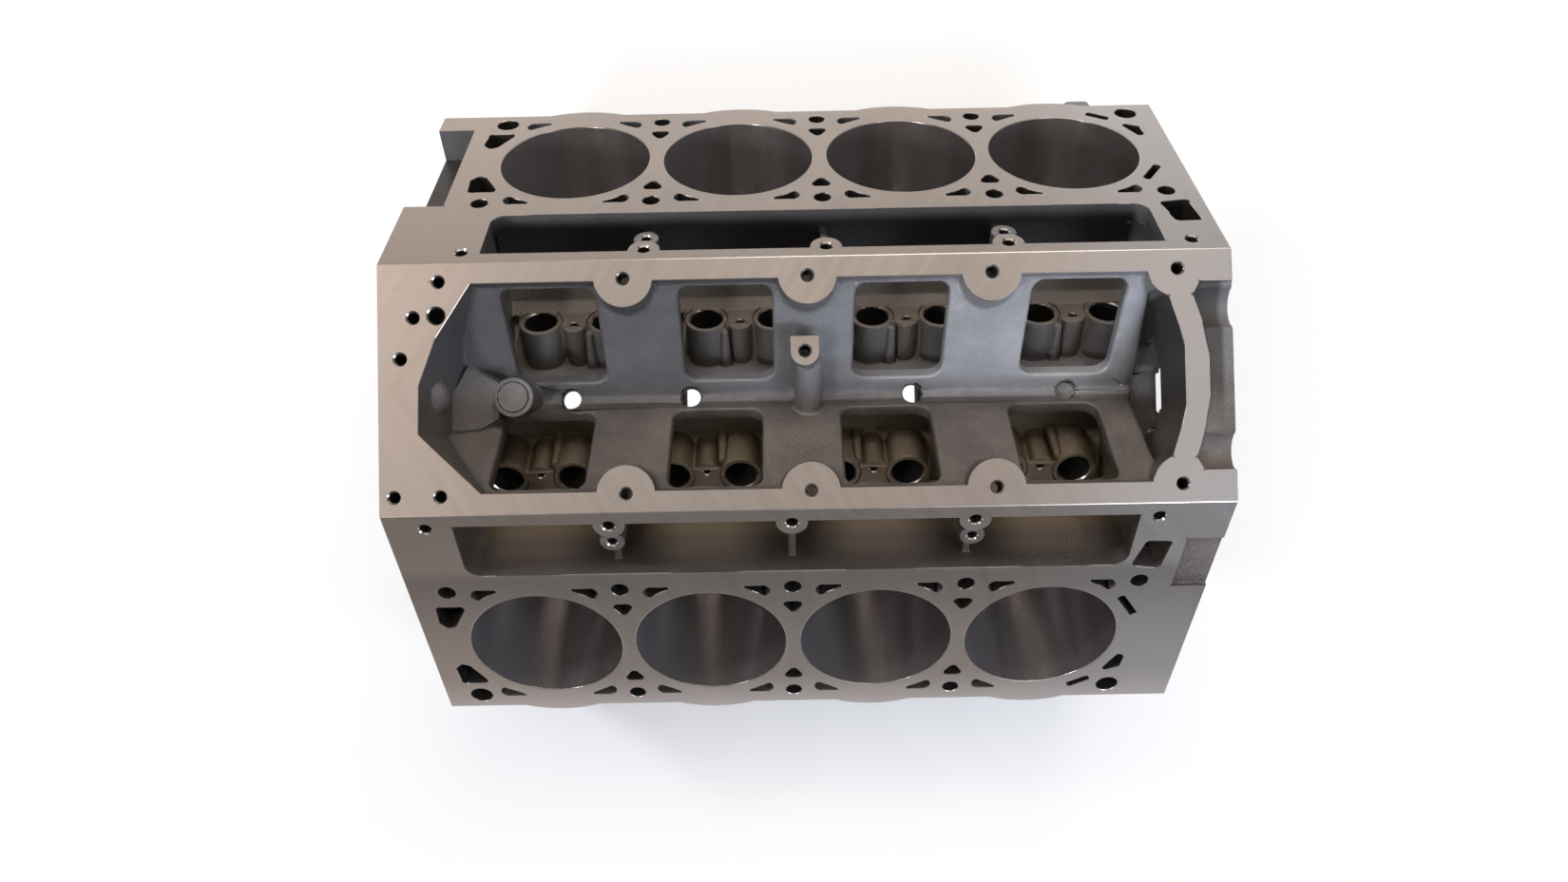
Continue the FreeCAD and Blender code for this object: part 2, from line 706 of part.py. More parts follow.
def rail_holes():
    places = [(x, side * rail_bolt_y, rail_bolt_radius) for x in main_places_x for side in banks]
    tools = []
    places += [(rear_face_x + a, b, radius) for a, b, radius in rear_rail_holes]
    for x, y, radius in places:
        start = (x, y, rail_top_z - rail_bolt_depth)
        tools.append(cylinder(radius, start, (0, 0, 1), rail_bolt_depth + over))
    post_start = (post_x, post_y, post_top_z - post_hole_depth)
    tools.append(cylinder(post_hole_radius, post_start, (0, 0, 1), post_hole_depth + over))
    drain_top_z = valley_floor[-1][1] + over
    relief_z = valley_floor_z - drain_wall - drain_relief_height
    for x in drain_places_x:
        start = (x, drain_y, cam_height)
        tools.append(cylinder(drain_radius, start, (0, 0, 1), drain_top_z - cam_height))
        tools.append(cylinder(drain_relief_radius, start, (0, 0, 1), relief_z - cam_height))
        relief = Part.makeCone(drain_relief_radius, drain_radius, drain_relief_height)
        relief.translate(Vector(x, drain_y, relief_z))
        tools.append(relief)
    start = (front_face_x - spot_face_back, drain_y, valley_floor_z - spot_face_depth)
    tools.append(cylinder(drain_radius, start, (0, 0, 1), drain_top_z - start[2]))
    plug_start = (rear_boss_x, rear_boss_y, rear_boss_top_z - rear_plug_depth)
    tools.append(cylinder(rear_plug_radius, plug_start, (0, 0, 1), rear_plug_depth + over))
    return tools


# Front of the rail, left as cast a little lower than the machined strip
def rail_front_step():
    half = [(front_face_x + over, cast_front_half_width)]
    half += [(front_face_x - a, b) for a, b in cast_front_edge]
    corners = half + [(x, -y) for x, y in reversed(half)]
    room = plan_prism(corners, rail_top_z - scallop_depth, rail_top_z + over)
    scallops = []
    for y in scallop_places_y:
        start = (valley_front_x, y, rail_top_z + scallop_rise)
        scallops.append(cylinder(scallop_radius, start, (1, 0, 0), front_face_x + over - valley_front_x))
    skin = plan_prism(corners, rail_top_z - cast_front_drop, rail_top_z + over)
    return room.common(scallops[0].fuse(scallops[1])).fuse(skin)


def rear_end_cuts():
    recess_x = rear_face_x + rear_recess_depth
    tools = [section_prism(both_halves(rear_recess_half), rear_face_x - over, recess_x, end_corner_radius)]
    u0, u1 = rear_notch_u
    notch_x = rear_face_x + rear_notch_back
    notch = block(rear_face_x - over, notch_x, u0, u1, rear_notch_d, deck_height + over)
    pocket = block(rear_face_x + flange_thickness, notch_x, u0, u1, rear_pocket_d, rear_notch_d + over)
    tools.append(in_bank(notch.fuse(pocket), left))
    for side in banks:
        for angle in housing_bolt_angles:
            start = (rear_face_x - over, *housing_circle_place(side, angle))
            tools.append(cylinder(housing_bolt_radius, start, (1, 0, 0), housing_bolt_depth + over))
        start = (rear_face_x - over, *housing_circle_place(side, housing_dowel_angle))
        tools.append(cylinder(housing_dowel_seat_radius, start, (1, 0, 0), housing_dowel_seat + over))
    return tools


def housing_circle_place(side, angle):
    return side * housing_bolt_circle * sin(radians(angle)), housing_bolt_circle * cos(radians(angle))


def front_end_cuts():
    chest = section_prism(both_halves(chest_half), chest_rear_x, front_face_x + over, end_corner_radius)
    half, floor_z = chest_slot_half_width, pocket_half[0][1]
    ends = (valley_front_x + over, chest_rear_x + over)
    slot = block(*ends, -half, half, floor_z, chest_slot_top_z)
    arch = block(*ends, *front_notch_y, floor_z, chest_arch_top_z)
    tools = [chest.fuse([slot, arch])]
    notch_ends = (front_face_x - front_notch_back, chest_rear_x + over)
    tools.append(block(*notch_ends, *front_notch_y, cam_height, front_notch_top_z))
    back, y, radius = front_spot
    x = front_face_x - back
    tools.append(cylinder(radius, (x, y, cam_height), (0, 0, 1), front_spot_top_z - cam_height))
    for side in banks:
        inner_x = bore_x(side, 3) + pump_port_reach
        start = (inner_x, *bank_point(side, pump_port_u, pump_port_d))
        tools.append(cylinder(pump_port_radius, start, (1, 0, 0), front_face_x - inner_x + over))
        for angle in pump_bolt_angles:
            u = pump_port_u + pump_bolt_circle_radius * cos(radians(angle))
            d = pump_port_d + pump_bolt_circle_radius * sin(radians(angle))
            start = (front_face_x - pump_bolt_depth, *bank_point(side, u, d))
            tools.append(cylinder(pump_bolt_radius, start, (1, 0, 0), pump_bolt_depth + over))
        for y, z in chest_bolts:
            start = (front_face_x - chest_bolt_depth, side * y, z)
            tools.append(cylinder(pump_bolt_radius, start, (1, 0, 0), chest_bolt_depth + over))
    ends = (front_face_x - deck_step_length, front_face_x + over)
    step = block(*ends, *deck_step_u, deck_height - deck_step_depth, deck_height + over)
    tools.append(in_bank(step, right))
    return tools


def plugged_gallery_ends():
    length = gallery_plug_length + gallery_plug_run_out + over
    tools = []
    for side in banks:
        y, z = side * gallery_plug_y, gallery_plug_z
        tools.append(cylinder(gallery_plug_radius, (rear_face_x - over, y, z), (1, 0, 0), length))
        tools.append(cylinder(gallery_plug_radius, (front_face_x + over, y, z), (-1, 0, 0), length))
    return tools


def core_plug_seats(side):
    tools = []
    for k in core_plug_bores(side):
        start = (bore_x(side, k), core_boss_face_u - over, core_plug_d)
        tools.append(in_bank(cylinder(core_plug_radius, start, (0, 1, 0), core_seat_depth), side))
    return tools


def crankcase_bolt_holes():
    tools = []
    for x in main_places_x:
        for side in banks:
            for y in (inner_bolt_y, outer_bolt_y):
                start = (x, side * y, -over)
                tools.append(cylinder(main_bolt_radius, start, (0, 0, 1), main_bolt_depth + over))
            start = (x, side * (cap_half_width - over), side_bolt_z)
            length = pan_rail_outer_y - cap_half_width + 2 * over
            tools.append(cylinder(side_bolt_radius, start, (0, side, 0), length))
    for side in banks:
        for x in main_places_x[:4]:
            start = (x + bore_pitch / 2, side * pan_bolt_y, pan_rail_z - over)
            tools.append(cylinder(pan_bolt_radius, start, (0, 0, 1), pan_rail_thickness + 2 * over))
        for x, z in mount_places():
            start = (x, side * (mount_face_y - mount_bolt_depth), z)
            tools.append(cylinder(mount_bolt_radius, start, (0, side, 0), mount_bolt_depth + over))
    return tools


def cylinder_block():
    solids = pan_rail() + bellhousing_flange() + mount_bosses()
    for side in banks:
        solids += bank_outside(side)
    body = body_envelope().fuse(solids).removeSplitter()
    tools = crank_bays() + cap_registers() + shaft_bores() + valley() + rail_holes() + [rail_front_step()]
    tools += rear_end_cuts() + front_end_cuts() + plugged_gallery_ends() + crankcase_bolt_holes()
    for side in banks:
        tools += water_jacket(side) + lifter_gallery(side) + valley_windows(side) + cylinder_bores(side)
        tools += deck_slots(side) + deck_bolt_holes(side) + core_plug_seats(side)
    return body.cut(tools)


def main_cap(x):
    y = cap_half_width - cap_clearance
    half = ((y, 0.0), (y, -cap_shoulder_height), (cap_shoulder_y, -cap_shoulder_height),
            (cap_shoulder_y - cap_shoulder_slope, -cap_height))
    cap = section_prism(both_halves(half), x - cap_width / 2, x + cap_width / 2)
    tools = [cylinder(main_bore_radius, (x - cap_width, 0, 0), (1, 0, 0), 2 * cap_width)]
    for side in banks:
        for bolt_y in (inner_bolt_y, outer_bolt_y):
            start = (x, side * bolt_y, -cap_height - over)
            tools.append(cylinder(main_bolt_radius, start, (0, 0, 1), cap_height + 2 * over))
        start = (x, side * (pan_rail_outer_y - side_bolt_length), side_bolt_z)
        tools.append(cylinder(side_bolt_radius, start, (0, side, 0), side_bolt_length))
    return cap.cut(tools)


# Hexagon-headed bolt with a flange, its seat at the start point and its shank along the direction
def flanged_bolt(start, direction, radius, length, across_flats, flange_radius, head_height):
    corner = across_flats / sqrt(3)
    hexagon = [(corner * cos(radians(60 * i)), corner * sin(radians(60 * i))) for i in range(6)]
    head = plan_prism(hexagon, -head_height, -flange_height / 2)
    flange = Part.makeCylinder(flange_radius, flange_height, Vector(0, 0, -flange_height))
    bolt = head.fuse([flange, Part.makeCylinder(radius, length)]).removeSplitter()
    bolt.Placement.Rotation = Rotation(Vector(0, 0, 1), Vector(*direction))
    bolt.translate(Vector(*start))
    return bolt


def main_bolts(y, seat_height):
    bolts = []
    for x in main_places_x:
        for side in banks:
            length = seat_height + main_bolt_depth - tip_clearance
            bolts.append(flanged_bolt((x, side * y, -seat_height), (0, 0, 1), main_bolt_radius, length,
                                      main_head_across_flats, main_flange_radius, main_head_height))
    return Part.makeCompound(bolts)


def side_bolts():
    bolts = []
    for x in main_places_x:
        for side in banks:
            start = (x, side * pan_rail_outer_y, side_bolt_z)
            length = side_bolt_length - tip_clearance
            bolts.append(flanged_bolt(start, (0, -side, 0), side_bolt_radius, length,
                                      side_head_across_flats, side_flange_radius, side_head_height))
    return Part.makeCompound(bolts)


def cam_bush(x):
    start = (x - cam_bush_width / 2, 0, cam_height)
    outside = cylinder(cam_bore_radius, start, (1, 0, 0), cam_bush_width)
    return outside.cut(cylinder(cam_bush_radius, start, (1, 0, 0), cam_bush_width))


# Pressed cup that closes a core hole, open side outwards
def core_plug(side, k):
    face_u = core_boss_face_u + core_plug_recess
    start = (bore_x(side, k), face_u, core_plug_d)
    cup = cylinder(core_plug_radius, start, (0, 1, 0), core_plug_depth)
    hollow = cylinder(core_plug_radius - core_plug_wall, start, (0, 1, 0), core_plug_depth - core_plug_wall)
    return in_bank(cup.cut(hollow), side)


def gallery_plug(side, face_x, inward):
    y, z = side * gallery_plug_y, gallery_plug_z
    outer_x = face_x + inward * gallery_plug_recess
    body = cylinder(gallery_plug_radius, (outer_x, y, z), (inward, 0, 0), gallery_plug_length)
    turns = [radians(60 * i) for i in range(6)]
    hexagon = [(y + plug_socket_radius * cos(a), z + plug_socket_radius * sin(a)) for a in turns]
    x0, x1 = sorted((outer_x - inward * over, outer_x + inward * plug_socket_depth))
    return body.cut(section_prism(hexagon, x0, x1))


def housing_dowel(side):
    y, z = housing_circle_place(side, housing_dowel_angle)
    free_length = housing_dowel_length - housing_dowel_seat
    free = cylinder(housing_dowel_radius, (rear_face_x - free_length, y, z), (1, 0, 0), free_length)
    free = free.makeChamfer(housing_dowel_chamfer, [min(free.Edges, key=lambda edge: edge.CenterOfMass.x)])
    seat = cylinder(housing_dowel_seat_radius, (rear_face_x, y, z), (1, 0, 0), housing_dowel_seat)
    return free.fuse(seat)


def rear_valley_plug():
    start = (rear_boss_x, rear_boss_y, rear_boss_top_z - rear_plug_depth)
    return cylinder(rear_plug_radius, start, (0, 0, 1), rear_plug_depth + rear_plug_rise)


nodes = {"cylinder_block": cylinder_block()}
for i, x in enumerate(main_places_x):
    nodes["main_cap_%d" % (i + 1)] = main_cap(x)
    nodes["cam_bearing_%d" % (i + 1)] = cam_bush(x)
nodes["inner_main_bolts"] = main_bolts(inner_bolt_y, cap_height)
nodes["outer_main_bolts"] = main_bolts(outer_bolt_y, cap_shoulder_height)
nodes["side_main_bolts"] = side_bolts()
for side, name in ((left, "left"), (right, "right")):
    for number, k in enumerate(core_plug_bores(side)):
        nodes["core_plug_%s_%d" % (name, number + 1)] = core_plug(side, k)
    nodes["rear_gallery_plug_" + name] = gallery_plug(side, rear_face_x, 1)
    nodes["front_gallery_plug_" + name] = gallery_plug(side, front_face_x, -1)
    nodes["bellhousing_dowel_" + name] = housing_dowel(side)
nodes["rear_valley_plug"] = rear_valley_plug()

for name, shape in nodes.items():
    shape.exportStep("parts/%s.step" % name)
    state = "valid" if shape.isValid() else "NOT VALID"
    print(name, len(shape.Solids), state, round(shape.Volume / 1000, 1), "cm3")
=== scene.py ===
import bpy
import bmesh
import json
from math import radians, sqrt
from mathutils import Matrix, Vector


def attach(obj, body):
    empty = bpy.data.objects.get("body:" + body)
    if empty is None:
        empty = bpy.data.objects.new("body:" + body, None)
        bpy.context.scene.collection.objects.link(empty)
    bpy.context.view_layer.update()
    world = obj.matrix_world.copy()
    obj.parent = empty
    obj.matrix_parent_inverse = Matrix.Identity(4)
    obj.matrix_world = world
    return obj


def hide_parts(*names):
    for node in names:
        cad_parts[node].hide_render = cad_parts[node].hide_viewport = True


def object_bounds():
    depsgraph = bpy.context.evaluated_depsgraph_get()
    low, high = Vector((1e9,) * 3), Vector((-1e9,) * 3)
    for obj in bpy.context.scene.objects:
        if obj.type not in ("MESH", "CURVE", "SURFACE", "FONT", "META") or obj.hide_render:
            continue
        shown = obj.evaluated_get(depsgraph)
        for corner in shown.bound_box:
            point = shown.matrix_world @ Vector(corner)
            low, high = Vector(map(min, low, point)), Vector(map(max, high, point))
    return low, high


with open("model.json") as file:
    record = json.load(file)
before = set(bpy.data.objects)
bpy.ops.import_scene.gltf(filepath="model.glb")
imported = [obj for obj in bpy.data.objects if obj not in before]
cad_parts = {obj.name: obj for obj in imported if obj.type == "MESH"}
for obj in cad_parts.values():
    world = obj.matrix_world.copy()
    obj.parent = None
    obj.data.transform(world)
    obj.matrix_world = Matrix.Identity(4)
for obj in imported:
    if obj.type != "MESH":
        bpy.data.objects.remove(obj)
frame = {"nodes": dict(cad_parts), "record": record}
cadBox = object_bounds()
nodes = frame["nodes"]
print("frame loaded with", len(nodes), "nodes")

rightBank, leftBank = -1, 1
slope = sqrt(0.5)  # both banks lean 45 degrees

# camera, lights and floor

camera = {"place": (-0.016524, -0.073859, 0.913671), "turn": (1.31725, 0.18807, -1.05728),
          "lens": 25.136, "shift": (0.00212, 0.02508), "nearest": 0.01, "farthest": 50}


def placeCamera():
    made = bpy.data.objects.new("camera", bpy.data.cameras.new("camera"))
    bpy.context.collection.objects.link(made)
    made.location = camera["place"]
    made.rotation_euler = [radians(a) for a in camera["turn"]]
    made.data.lens = camera["lens"]
    made.data.shift_x, made.data.shift_y = camera["shift"]
    made.data.clip_start, made.data.clip_end = camera["nearest"], camera["farthest"]
    bpy.context.scene.camera = made


# one socket of a shader graph, so that maths on it reads as a Python expression
class Signal:
    def __init__(self, finish, socket):
        self.finish, self.socket = finish, socket

    def maths(self, operation, a, b):
        return self.finish.add("Math", {"operation": operation}, {0: a, 1: b})

    def __add__(self, other):
        return self.maths("ADD", self, other)

    def __radd__(self, other):
        return self.maths("ADD", other, self)

    def __sub__(self, other):
        return self.maths("SUBTRACT", self, other)

    def __rsub__(self, other):
        return self.maths("SUBTRACT", other, self)

    def __mul__(self, other):
        return self.maths("MULTIPLY", self, other)

    def __rmul__(self, other):
        return self.maths("MULTIPLY", other, self)

    def __truediv__(self, other):
        return self.maths("DIVIDE", self, other)

    def __abs__(self):
        return self.finish.add("Math", {"operation": "ABSOLUTE"}, {0: self})


# the node graph of one material
class Finish:
    def __init__(self, name):
        self.material = bpy.data.materials.new(name)
        self.material.use_nodes = True
        self.graph = self.material.node_tree
        self.graph.nodes.clear()

    def add(self, kind, settings, inputs, out=0):
        node = self.graph.nodes.new("ShaderNode" + kind)
        for key, value in settings.items():
            setattr(node, key, value)
        for key, value in inputs.items():
            if isinstance(value, Signal):
                self.graph.links.new(value.socket, node.inputs[key])
            else:
                node.inputs[key].default_value = value
        return Signal(self, node.outputs[out]) if node.outputs else None

    def place(self, scale=(1, 1, 1), turn=(0, 0, 0)):
        where = self.add("TexCoord", {}, {}, "Object")
        turned = self.add("Mapping", {}, {"Vector": where, "Rotation": turn})
        return self.add("Mapping", {}, {"Vector": turned, "Scale": scale})

    def split(self, where):
        return [self.add("SeparateXYZ", {}, {0: where}, axis) for axis in "XYZ"]

    def join(self, x, y, z):
        return self.add("CombineXYZ", {}, {0: x, 1: y, 2: z})

    # distances along the block, with u across a bank and d up it on either side
    def places(self):
        x, y, z = self.split(self.place())
        u, d = (z - abs(y)) * slope, (z + abs(y)) * slope
        return {"x": x, "y": y, "z": z, "u": u, "d": d, "reach": abs(x), "aside": abs(y)}

    def noise(self, where, scale, detail=3.0, rough=0.5):
        inputs = {"Vector": where, "Scale": scale, "Detail": detail, "Roughness": rough}
        return self.add("TexNoise", {}, inputs)

    def ramp(self, value, low, high):
        inputs = {"Value": value, "From Min": low, "From Max": high, "To Min": 0.0, "To Max": 1.0}
        return self.add("MapRange", {"interpolation_type": "SMOOTHSTEP"}, inputs)

    def fade(self, value, low, high):
        return 1 - self.ramp(value, low, high)

    # full where every place is past its first limits and short of its second ones
    def zone(self, places, limits):
        mask = 1.0
        for name, (rise, fall) in limits.items():
            if rise:
                mask = mask * self.ramp(places[name], *rise)
            if fall:
                mask = mask * self.fade(places[name], *fall)
        return mask

    def blend(self, amount, shadeA, shadeB):
        shades = [s if isinstance(s, Signal) else (*s, 1) for s in (shadeA, shadeB)]
        return self.add("Mix", {"data_type": "RGBA"}, {0: amount, 6: shades[0], 7: shades[1]}, 2)

    def bump(self, height, look):
        inputs = {"Height": height, "Strength": look["bump"], "Distance": look["bumpDepth"]}
        return self.add("Bump", {}, inputs, "Normal")

    def close(self, shade, metal, rough, skin=None):
        inputs = {"Base Color": shade, "Metallic": metal, "Roughness": rough}
        if skin:
            inputs["Normal"] = skin
        surface = self.add("BsdfPrincipled", {}, inputs)
        self.add("OutputMaterial", {}, {"Surface": surface})
        return self.material


lighting = {
    "world": 0.10, "sky": (1, 0.99, 0.98), "aim": (0, 0, 0.1),
    "boxes": [
        {"spot": (0.00, 0.85, 2.20), "size": (3.6, 2.4), "power": 22.0, "shade": (1, 0.93, 0.86)},
        {"spot": (0.25, 1.25, 1.25), "size": (0.9, 0.6), "power": 14.0, "shade": (1, 0.93, 0.86)},
        {"spot": (0.45, -0.38, 0.62), "size": (0.25, 0.25), "power": 2.2, "shade": (0.78, 0.86, 1)},
        {"spot": (0.60, -1.30, 1.20), "size": (0.5, 0.4), "power": 3.0, "shade": (0.82, 0.88, 1)},
        {"spot": (-1.00, -0.80, 1.55), "size": (0.25, 0.25), "power": 10.0, "shade": (0.92, 0.94, 1)},
        {"spot": (-1.36, 0.60, 1.34), "size": (0.25, 0.25), "power": 10.0, "shade": (0.92, 0.94, 1)}]}


# the sky lights the block softly and looks white to the camera
def lightWorld():
    world = bpy.data.worlds.new("studio")
    bpy.context.scene.world = world
    world.use_nodes = True
    graph = world.node_tree.nodes
    link = world.node_tree.links.new
    sky = graph["Background"]
    sky.inputs["Color"].default_value = (*lighting["sky"], 1)
    sky.inputs["Strength"].default_value = lighting["world"]
    seen = graph.new("ShaderNodeBackground")
    seen.inputs["Color"].default_value = (1, 1, 1, 1)
    eye = graph.new("ShaderNodeLightPath")
    mix = graph.new("ShaderNodeMixShader")
    link(eye.outputs["Is Camera Ray"], mix.inputs[0])
    link(sky.outputs[0], mix.inputs[1])
    link(seen.outputs[0], mix.inputs[2])
    link(mix.outputs[0], graph["World Output"].inputs[0])


def hangSoftboxes():
    for number, box in enumerate(lighting["boxes"]):
        lamp = bpy.data.lights.new("softbox%d" % number, "AREA")
        lamp.shape, lamp.energy, lamp.color = "RECTANGLE", box["power"], box["shade"]
        lamp.size, lamp.size_y = box["size"]
        holder = bpy.data.objects.new(lamp.name, lamp)
        bpy.context.collection.objects.link(holder)
        holder.location = box["spot"]
        holder.rotation_mode = "QUATERNION"
        facing = Vector(lighting["aim"]) - Vector(box["spot"])
        holder.rotation_quaternion = facing.to_track_quat("-Z", "Y")


floorSettings = {
    "half": 6.0, "drop": 0.0005, "paper": 0.88, "glow": 0.15,
    "under": {"reach": (None, (0.235, 0.245)), "aside": (None, (0.12, 0.13))},
    "ahead": {"reach": ((0.27, 0.50), None)}, "beside": {"aside": ((0.235, 0.42), None)}}


# pale paper that the camera sees as white under the block and beyond its shadow
def layFloor():
    sheet = bmesh.new()
    bmesh.ops.create_grid(sheet, x_segments=1, y_segments=1, size=floorSettings["half"])
    bmesh.ops.translate(sheet, vec=(0, 0, cadBox[0][2] - floorSettings["drop"]), verts=sheet.verts)
    mesh = bpy.data.meshes.new("floor")
    sheet.to_mesh(mesh)
    floor = bpy.data.objects.new("floor", mesh)
    bpy.context.collection.objects.link(floor)
    paper = Finish("paper")
    eye = paper.add("LightPath", {}, {}, "Is Camera Ray")
    mirror = paper.add("LightPath", {}, {}, "Is Glossy Ray")
    glass = paper.add("LightPath", {}, {}, "Is Transmission Ray")
    matt = paper.add("BsdfDiffuse", {}, {"Color": (*[floorSettings["paper"]] * 3, 1)})
    glow = paper.add("Emission", {}, {"Color": (1, 1, 1, 1), "Strength": floorSettings["glow"]})
    lit = paper.add("AddShader", {}, {0: matt, 1: glow})
    shown = paper.add("MixShader", {}, {0: eye + mirror + glass, 1: matt, 2: lit})
    places = paper.places()
    under = paper.zone(places, floorSettings["under"])
    ahead, beside = [paper.zone(places, floorSettings[side]) for side in ("ahead", "beside")]
    clear = ahead + beside - ahead * beside  # past either limit
    white = paper.add("Emission", {}, {"Color": (1, 1, 1, 1), "Strength": 1.0})
    shown = paper.add("MixShader", {}, {0: (under + clear) * eye, 1: shown, 2: white})
    paper.add("OutputMaterial", {}, {"Surface": shown})
    mesh.materials.append(paper.material)


# finishes

castLook = {
    "dark": (0.17, 0.165, 0.172), "light": (0.23, 0.225, 0.235),
    "coolDark": (0.46, 0.46, 0.48), "cool": (0.64, 0.64, 0.66),
    "brownDark": (0.12, 0.102, 0.092), "brownLight": (0.21, 0.182, 0.163),
    "olive": (0.175, 0.130, 0.080), "oilAndShade": (0.12, 0.098, 0.083), "paintedShadow": (0.030, 0.027, 0.025),
    "frontShadow": (0.055, 0.050, 0.048), "rust": (0.20, 0.085, 0.035),
    "patch": 24, "cloud": 90, "grain": 900, "rustPatch": 55,
    "tone": (0.36, 0.66), "rustTone": (0.64, 0.74), "rustDepth": 0.5, "frontShadowDepth": 0.85,
    "oliveDepth": 0.9, "oliveLeft": 0.2, "oliveCloud": 0.35,
    "bump": 0.9, "bumpDepth": 0.0009, "rough": 0.24, "roughGrain": 0.12, "metal": 0.6}

# each limit is where a place starts to count and counts fully, and where it fades and ends
castZones = {
    "left": {"y": ((-0.012, 0.012), None)},
    "valleyFront": {"x": ((-0.12, 0.17), (0.226, 0.236)), "z": ((0.10, 0.14), None),
                    "u": ((0.1175, 0.1215), None)},
    "gallery": {"u": ((0.060, 0.066), None), "reach": (None, (0.211, 0.216)), "d": ((0.10, 0.12), None)},
    "room": {"u": (None, (0.117, 0.1262)), "d": (None, (0.200, 0.212))},
    "bosses": {"u": ((0.096, 0.106), None)},
    "innerWall": {"u": (None, (0.078, 0.084)), "d": ((0.196, 0.206), (0.224, 0.2342))},
    "chest": {"x": ((0.202, 0.220), (0.248, 0.252)), "u": ((0.1175, 0.1215), None),
              "z": ((0.16, 0.20), None), "y": ((-0.04, 0.0), None)},
    "rusty": {"x": (None, (-0.25, -0.15))}}


# sand-cast skin: mottled grey with a fine grain, cooler on the left and warmer and darker on the right,
# which is painted light
def castIron():
    paint = Finish("castIron")
    where, places = paint.place(), paint.places()
    patches = paint.noise(where, castLook["patch"], 4)
    cloud = paint.noise(where, castLook["cloud"], 5, 0.65)
    grain = paint.noise(where, castLook["grain"], 4, 0.7)
    tone = paint.ramp(patches * 0.4 + cloud * 0.3 + grain * 0.3, *castLook["tone"])
    # painted light: on the left side the valley wall is painted much paler and bluer towards the front, a
    # painted pool of cool light
    forward = paint.zone(places, castZones["valleyFront"])
    dark = paint.blend(forward, castLook["dark"], castLook["coolDark"])
    light = paint.blend(forward, castLook["light"], castLook["cool"])
    # painted light: cast on the right side (y below nought) is painted darker and browner, on the left a
    # cooler grey, for warm and cool lamps
    near = paint.blend(tone, castLook["brownDark"], castLook["brownLight"])
    left = paint.zone(places, castZones["left"])
    shade = paint.blend(left, near, paint.blend(tone, dark, light))
    gallery = paint.zone(places, castZones["gallery"])
    room = gallery * paint.zone(places, castZones["room"])
    room = room * (1 - left * paint.zone(places, castZones["bosses"]))  # the left bosses stay grey
    room = room * (castLook["oliveDepth"] - left * castLook["oliveLeft"]) * (cloud + castLook["oliveCloud"])
    shade = paint.blend(room, shade, castLook["olive"])
    # painted shade: the inner gallery walls are painted black on the left and dark brown on the right, the
    # brown partly an oil tint
    wall = gallery * paint.zone(places, castZones["innerWall"])
    shade = paint.blend(wall, shade, paint.blend(left, castLook["oilAndShade"], castLook["paintedShadow"]))
    # painted shadow: the upper front wall of the valley is painted near black where shade falls
    chest = paint.zone(places, castZones["chest"]) * castLook["frontShadowDepth"]
    shade = paint.blend(chest, shade, castLook["frontShadow"])
    rust = paint.ramp(paint.noise(where, castLook["rustPatch"], 5, 0.7), *castLook["rustTone"])
    rust = rust * paint.zone(places, castZones["rusty"]) * castLook["rustDepth"]
    shade = paint.blend(rust, shade, castLook["rust"])
    skin = paint.bump(grain + cloud * 0.5, castLook)
    return paint.close(shade, castLook["metal"], castLook["rough"] + grain * castLook["roughGrain"], skin)


milledLook = {
    "pale": (0.42, 0.365, 0.328), "deep": (0.36, 0.31, 0.275), "warm": (0.465, 0.383, 0.330),
    "cool": (0.485, 0.46, 0.455), "paintedShade": (0.22, 0.20, 0.185), "lit": (0.74, 0.67, 0.65),
    "rust": (0.23, 0.11, 0.055), "curve": 3.3, "fine": 1500, "wide": 160, "patch": 14, "rustPatch": 210,
    "tone": (0.34, 0.64), "rustTone": (0.66, 0.74), "paintedShadeDepth": 0.7, "paintedLitDepth": 0.9, "rustDepth": 0.8,
    "bump": 0.18, "bumpDepth": 0.0003, "rough": 0.30, "roughTrack": 0.12, "roughRust": 0.3, "metal": 0.9}

milledZones = {
    "rear": {"x": (None, (-0.27, -0.10))}, "front": {"x": ((0.10, 0.25), None)},
    "rightDeck": {"y": (None, (-0.12, -0.11)), "z": (None, (0.2545, 0.2550))},
    "inner": {"u": ((-0.02, 0.10), None)}, "outer": {"u": (None, (-0.09, -0.03))},
    "rusty": {"x": (None, (-0.25, -0.12))}}


